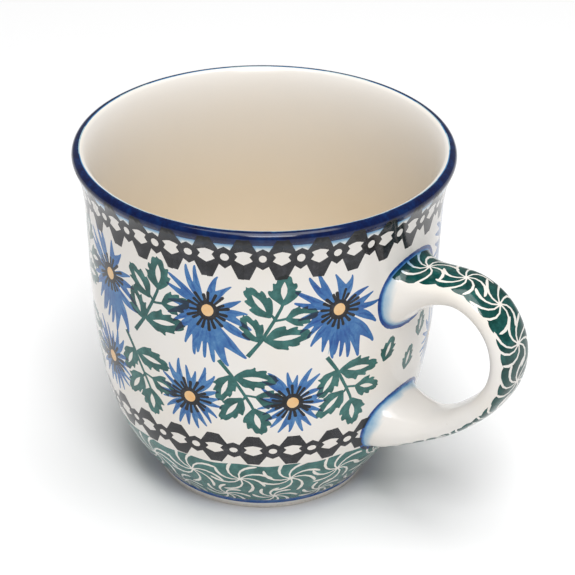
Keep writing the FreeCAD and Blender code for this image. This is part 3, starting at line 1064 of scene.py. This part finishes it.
def root_wash(skin, inks):
    """The blue that runs from the line round each root up onto the clay."""
    total = skin.reach[-1]

    def wash(place):
        near = min(place.y, total - place.y)
        patch = noise.noise(Vector((place.x * 0.25, place.y * 0.2, 3.0)))
        line = max(0.0, 1.0 - near / 0.9) * 0.55
        soft = max(0.0, 1.0 - near / (2.7 + 1.6 * patch)) ** 1.1 * (0.24 + 0.2 * patch)
        return inks["cobalt"] * (line + soft)

    return wash


# ---------------------------------------------------------------- materials


class Graph:
    """Short calls for wiring a material."""

    def __init__(self, name):
        self.material = bpy.data.materials.new(name)
        self.material.use_nodes = True
        self.tree = self.material.node_tree
        self.shader = next(n for n in self.tree.nodes if n.type == "BSDF_PRINCIPLED")

    def feed(self, socket, value):
        if isinstance(value, bpy.types.NodeSocket):
            self.tree.links.new(value, socket)
        else:
            socket.default_value = value

    def node(self, kind, inputs=(), **settings):
        made = self.tree.nodes.new(kind)
        for key, value in settings.items():
            setattr(made, key, value)
        for key, value in dict(inputs).items():
            self.feed(made.inputs[key], value)
        return made

    def maths(self, operation, a, b=0.0):
        return self.node("ShaderNodeMath", {0: a, 1: b}, operation=operation).outputs[0]

    def vector(self, operation, a, b=(0, 0, 0)):
        return self.node("ShaderNodeVectorMath", {0: a, 1: b}, operation=operation).outputs[0]

    def place(self):
        return self.node("ShaderNodeTexCoord").outputs["Object"]

    def cloud(self, scale, detail=2.0, rough=0.5):
        inputs = {"Vector": self.place(), "Scale": scale, "Detail": detail, "Roughness": rough}
        return self.node("ShaderNodeTexNoise", inputs).outputs["Fac"]

    def span(self, value, low, high, start=0.0, end=1.0):
        inputs = {"Value": value, "From Min": start, "From Max": end, "To Min": low,
                  "To Max": high}
        return self.node("ShaderNodeMapRange", inputs).outputs["Result"]

    def blend(self, share, a, b):
        made = self.node("ShaderNodeMix", data_type="RGBA")
        self.feed(made.inputs["Factor"], share)
        self.feed(made.inputs["A"], a)
        self.feed(made.inputs["B"], b)
        return made.outputs["Result"]

    def bump(self, heights):
        """Bump from (height, millimetres) pairs, chained."""
        normal = None
        for height, depth in heights:
            made = self.node("ShaderNodeBump", {"Height": height, "Strength": 1.0,
                                                "Distance": depth * MM})
            if normal:
                self.feed(made.inputs["Normal"], normal)
            normal = made.outputs["Normal"]
        self.feed(self.shader.inputs["Normal"], normal)

    def glaze(self, base, bare):
        """A glossy glaze over a base colour, with a faint ripple."""
        shader = self.shader
        self.feed(shader.inputs["Base Color"], base)
        rough = self.span(self.cloud(420.0, 3.0), bare - 0.03, bare + 0.04)
        self.feed(shader.inputs["Roughness"], rough)
        self.feed(shader.inputs["IOR"], 1.5)
        self.feed(shader.inputs["Specular IOR Level"], 0.36)
        self.bump([(self.cloud(55.0, 1.0), 0.16), (self.cloud(900.0, 2.0), 0.0035)])


def glaze_white(graph, colour):
    """White glaze that warms a little in patches, with faint iron specks."""
    warm = [c * k for c, k in zip(colour, (0.985, 0.96, 0.92))] + [1.0]
    patches = graph.span(graph.cloud(38.0, 2.0), 0.0, 1.0, 0.4, 0.68)
    base = graph.blend(patches, list(colour) + [1.0], warm)
    cells = graph.node("ShaderNodeTexVoronoi", {"Vector": graph.place(), "Scale": 260.0})
    speck = graph.span(cells.outputs["Distance"], 1.0, 0.0, 0.02, 0.05)
    speck = graph.maths("MULTIPLY", speck, graph.span(graph.cloud(90.0), 0.0, 0.35, 0.6, 0.7))
    return graph.blend(speck, base, (0.35, 0.24, 0.14, 1.0))


def painted_material(name):
    """Painted glaze: each corner's paint depth dims the white under it."""
    graph = Graph(name)
    white = glaze_white(graph, colours().glaze)
    depth = graph.node("ShaderNodeAttribute", attribute_name="paint").outputs["Vector"]
    wash = graph.span(graph.cloud(330.0, 3.0, 0.55), 0.80, 1.20, 0.3, 0.7)
    fine = graph.span(graph.cloud(1500.0, 2.0), 0.93, 1.07, 0.3, 0.7)
    thick = graph.maths("MULTIPLY", graph.maths("MULTIPLY", wash, fine), -1.0)
    scaled = graph.node("ShaderNodeVectorMath", {0: depth, "Scale": thick}, operation="SCALE")
    parts = graph.node("ShaderNodeSeparateXYZ", {0: scaled.outputs[0]})
    light = graph.node("ShaderNodeCombineXYZ")
    for i in range(3):
        graph.feed(light.inputs[i], graph.maths("EXPONENT", parts.outputs[i]))
    graph.glaze(graph.vector("MULTIPLY", white, light.outputs[0]), 0.11)
    return graph.material


def liner_material():
    """Liner glaze: white at the lip and a warmer cream towards the floor."""
    graph = Graph("liner_glaze")
    colour = colours()
    height = graph.node("ShaderNodeSeparateXYZ", {0: graph.place()}).outputs["Z"]
    height = graph.maths("ADD", height, graph.span(graph.cloud(30.0), -0.006, 0.006))
    share = graph.span(height, 0.0, 1.0, 0.06, 0.099)
    base = graph.blend(share, list(colour.liner) + [1.0], list(colour.glaze) + [1.0])
    graph.glaze(base, 0.2)
    return graph.material


def clay_material():
    """Bare fired stoneware: matte, fine-grained and slightly sandy."""
    graph = Graph("bare_clay")
    colour = list(colours().clay)
    dark = [c * 0.8 for c in colour] + [1.0]
    grain = graph.span(graph.cloud(1400.0, 4.0, 0.7), 0.0, 1.0, 0.35, 0.65)
    base = graph.blend(grain, colour + [1.0], dark)
    graph.feed(graph.shader.inputs["Base Color"], base)
    graph.feed(graph.shader.inputs["Roughness"],
               graph.span(graph.cloud(700.0, 3.0), 0.62, 0.85))
    graph.bump([(graph.cloud(1600.0, 4.0, 0.7), 0.03)])
    return graph.material


def floor_material():
    """A plain pale studio floor."""
    graph = Graph("studio_floor")
    colour = list(colours().floor)
    pale = graph.blend(graph.cloud(3.0), colour + [1.0], [c * 0.995 for c in colour] + [1.0])
    graph.feed(graph.shader.inputs["Base Color"], pale)
    graph.feed(graph.shader.inputs["Roughness"], 0.9)
    return graph.material


# ---------------------------------------------------------------- operators


# Spacing of the wall's mesh rows where its curve or its wash is tight, and over the lip.
TIGHT_ROWS = 0.5
LIP_ROWS = 0.42
# Rows that the back of the coat follows one by one at the foot and at the lip. It follows
# every third between them.
BACK_FOOT_ROWS = 5
BACK_LIP_ROWS = 6


class MUG_OT_paint_wall(bpy.types.Operator):
    """Build the painted coat on the outside of the cup"""

    bl_idname = "mug.paint_wall"
    bl_label = "Painted wall"

    def execute(self, context):
        size = sizes()
        profile = wall_profile()
        skin = HandleSkin(profile)
        total = profile.reach[-1]
        lip = total - size.lip_radius / MM * math.radians(LIP_END - LIP_START) - 1.0
        columns = [UNROLL * t for t in spaced(-math.pi, math.pi, size.column_angle)]
        soft = RIM_PAINT[0] - RIM_FADE
        rows = (spaced(profile.reach[0], 0.0, TIGHT_ROWS)[:-1]
                + spaced(0.0, soft, size.row_gap / MM) + spaced(soft, lip, TIGHT_ROWS)[1:]
                + spaced(lip, total, LIP_ROWS)[1:])
        sheet = Sheet(columns, rows, lambda u, s: profile.point(u / UNROLL, s))
        inks = ink_set()
        wall_marks(sheet, profile, inks, skin.footprints)
        mesh = sheet.mesh("painted_wall", rim_wash(inks))
        work = weld_seam(mesh)
        back_of_wall(work, profile, rows[:BACK_FOOT_ROWS]
                     + rows[BACK_FOOT_ROWS:-BACK_LIP_ROWS:3] + rows[-BACK_LIP_ROWS:])
        work.to_mesh(mesh)
        work.free()
        unwrap_strips(mesh, WALL_HALF, rows[0], total)
        set_facing(mesh)
        new_piece("painted_wall", mesh, painted_material("painted_glaze"),
                  "outside_glaze")
        return {"FINISHED"}


class MUG_OT_paint_handle(bpy.types.Operator):
    """Build the painted coat on the handle, blended into the wall at both roots"""

    bl_idname = "mug.paint_handle"
    bl_label = "Painted handle"

    def execute(self, context):
        skin = HandleSkin(wall_profile())
        half = math.pi * HANDLE_UNROLL
        columns = spaced(-half, half, 2 * half / HANDLE_COLUMNS)
        last = len(skin.reach) - FILLET_ROWS
        rows = [s for i, s in enumerate(skin.reach) if i < FILLET_ROWS or i >= last or i % 2 == 0]
        sheet = Sheet(columns, rows, skin.fold)
        inks = ink_set()
        handle_marks(sheet, skin, inks)
        mesh = sheet.mesh("painted_handle", root_wash(skin, inks))
        work = weld_seam(mesh)
        bmesh.ops.holes_fill(work, edges=[e for e in work.edges if e.is_boundary], sides=0)
        work.to_mesh(mesh)
        work.free()
        unwrap_strips(mesh, half, 0.0, skin.reach[-1])
        set_facing(mesh)
        new_piece("painted_handle", mesh, painted_material("handle_painted_glaze"),
                  "handle_glaze")
        return {"FINISHED"}


class MUG_OT_line_cup(bpy.types.Operator):
    """Build the poured liner on the inside of the cup"""

    bl_idname = "mug.line_cup"
    bl_label = "Cup liner"

    def execute(self, context):
        face = Profile(liner_profile())
        skin = sizes().skin / MM
        back = [p + n * -skin for p, n in zip(face.points, face.normals)]
        back[-1].x = 0.0
        loop = face.points + back[::-1]
        work = bmesh.new()
        verts = [work.verts.new((p.x * MM, 0, p.y * MM)) for p in loop]
        edges = [work.edges.new(pair) for pair in zip(verts, verts[1:] + verts[:1])
                 if pair[0].co.x > 1e-7 or pair[1].co.x > 1e-7]
        bmesh.ops.spin(work, geom=verts + edges, cent=(0, 0, 0), axis=(0, 0, 1), angle=TAU,
                       steps=180, use_merge=True)
        bmesh.ops.remove_doubles(work, verts=work.verts, dist=1e-7)
        bmesh.ops.recalc_face_normals(work, faces=work.faces)
        mesh = bpy.data.meshes.new("cup_liner")
        work.to_mesh(mesh)
        work.free()
        mesh.polygons.foreach_set("use_smooth", [True] * len(mesh.polygons))
        mesh.set_sharp_from_angle(angle=math.radians(50))
        new_piece("cup_liner", mesh, liner_material(), "inside_glaze")
        return {"FINISHED"}


class MUG_OT_dress_clay(bpy.types.Operator):
    """Give the clay, the slip and the base their own finishes"""

    bl_idname = "mug.dress_clay"
    bl_label = "Clay finishes"

    def execute(self, context):
        clay = clay_material()
        graph = Graph("base_glaze")
        graph.glaze(glaze_white(graph, colours().liner), 0.2)
        looks = {"cup_body": clay, "handle": clay, "upper_slip_joint": clay,
                 "lower_slip_joint": clay, "base_glaze": graph.material}
        for name, material in looks.items():
            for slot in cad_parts[name].material_slots:
                slot.material = material
        return {"FINISHED"}


FLOOR_HALF = 4.0
WORLD_LIGHT = 0.28
# Each lamp: name, bearing and rise in degrees, distance, side of its square and power.
LAMPS = [("key", 42.0, 55.0, 1.2, 0.42, 6.8), ("top", 60.0, 84.0, 1.8, 1.3, 25.0)]
# The camera in degrees: where it stands round and above the mug, and how it turns from facing
# the mug's middle.
VIEW_BEARING = 36.0
VIEW_RISE = 30.2
VIEW_YAW = -0.578
VIEW_PITCH = 0.347
VIEW_ROLL = 0.3
VIEW_LENS = 147.7


class MUG_OT_set_stage(bpy.types.Operator):
    """Set the floor, the lights and the camera"""

    bl_idname = "mug.set_stage"
    bl_label = "Studio"

    def execute(self, context):
        scene = context.scene
        work = bmesh.new()
        bmesh.ops.create_grid(work, x_segments=2, y_segments=2, size=FLOOR_HALF)
        mesh = bpy.data.meshes.new("studio_floor")
        work.to_mesh(mesh)
        work.free()
        floor = bpy.data.objects.new("studio_floor", mesh)
        mesh.materials.append(floor_material())
        scene.collection.objects.link(floor)
        self.lights(scene)
        self.camera(scene)
        scene.view_settings.view_transform = "Standard"
        return {"FINISHED"}

    def lights(self, scene):
        world = bpy.data.worlds.new("studio")
        world.use_nodes = True
        background = world.node_tree.nodes["Background"]
        background.inputs["Color"].default_value = (1, 1, 1, 1)
        background.inputs["Strength"].default_value = WORLD_LIGHT
        scene.world = world
        middle = Vector((0, 0, sizes().height / 2))
        for name, bearing, rise, distance, across, power in LAMPS:
            data = bpy.data.lights.new(name, "AREA")
            data.shape = "SQUARE"
            data.size = across
            data.energy = power
            lamp = bpy.data.objects.new(name, data)
            scene.collection.objects.link(lamp)
            lamp.location = middle + distance * bearing_vector(bearing, rise)
            lamp.rotation_euler = (lamp.location - middle).to_track_quat("Z", "Y").to_euler()

    def camera(self, scene):
        size = sizes()
        data = bpy.data.cameras.new("camera")
        data.lens = VIEW_LENS
        data.sensor_width = 36.0
        data.clip_start = 0.01
        camera = bpy.data.objects.new("camera", data)
        scene.collection.objects.link(camera)
        middle = Vector((0, 0, size.height / 2))
        back = bearing_vector(VIEW_BEARING, VIEW_RISE)
        camera.location = middle + size.camera_distance * back
        aim = back.to_track_quat("Z", "Y").to_matrix()
        yaw = Matrix.Rotation(math.radians(VIEW_YAW), 3, "Y")
        pitch = Matrix.Rotation(math.radians(VIEW_PITCH), 3, "X")
        roll = Matrix.Rotation(math.radians(VIEW_ROLL), 3, "Z")
        camera.rotation_euler = (aim @ yaw @ pitch @ roll).to_euler()
        scene.camera = camera


def bearing_vector(bearing, rise):
    """A direction: bearing 0 is from -Y and 90 from +X, rise is above the floor."""
    a, e = math.radians(bearing), math.radians(rise)
    return Vector((math.sin(a) * math.cos(e), -math.cos(a) * math.cos(e), math.sin(e)))


class MUG_PT_panel(bpy.types.Panel):
    """Buttons and sizes for the mug"""

    bl_label = "Painted mug"
    bl_space_type = "VIEW_3D"
    bl_region_type = "UI"
    bl_category = "Mug"

    def draw(self, context):
        layout = self.layout
        for operator in OPERATORS:
            layout.operator(operator.bl_idname)
        for group in (context.scene.mug_sizes, context.scene.mug_colours):
            for name in group.__annotations__:
                layout.prop(group, name)


OPERATORS = (MUG_OT_paint_wall, MUG_OT_paint_handle, MUG_OT_line_cup, MUG_OT_dress_clay,
             MUG_OT_set_stage)
CLASSES = (MugSizes, MugColours) + OPERATORS + (MUG_PT_panel,)


def register():
    for item in CLASSES:
        bpy.utils.register_class(item)
    bpy.types.Scene.mug_sizes = bpy.props.PointerProperty(type=MugSizes)
    bpy.types.Scene.mug_colours = bpy.props.PointerProperty(type=MugColours)


def unregister():
    del bpy.types.Scene.mug_colours
    del bpy.types.Scene.mug_sizes
    for item in reversed(CLASSES):
        bpy.utils.unregister_class(item)


def main():
    register()
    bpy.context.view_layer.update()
    bpy.ops.mug.paint_wall()
    bpy.ops.mug.paint_handle()
    bpy.ops.mug.line_cup()
    bpy.ops.mug.dress_clay()
    bpy.ops.mug.set_stage()


if __name__ == "__main__":
    main()
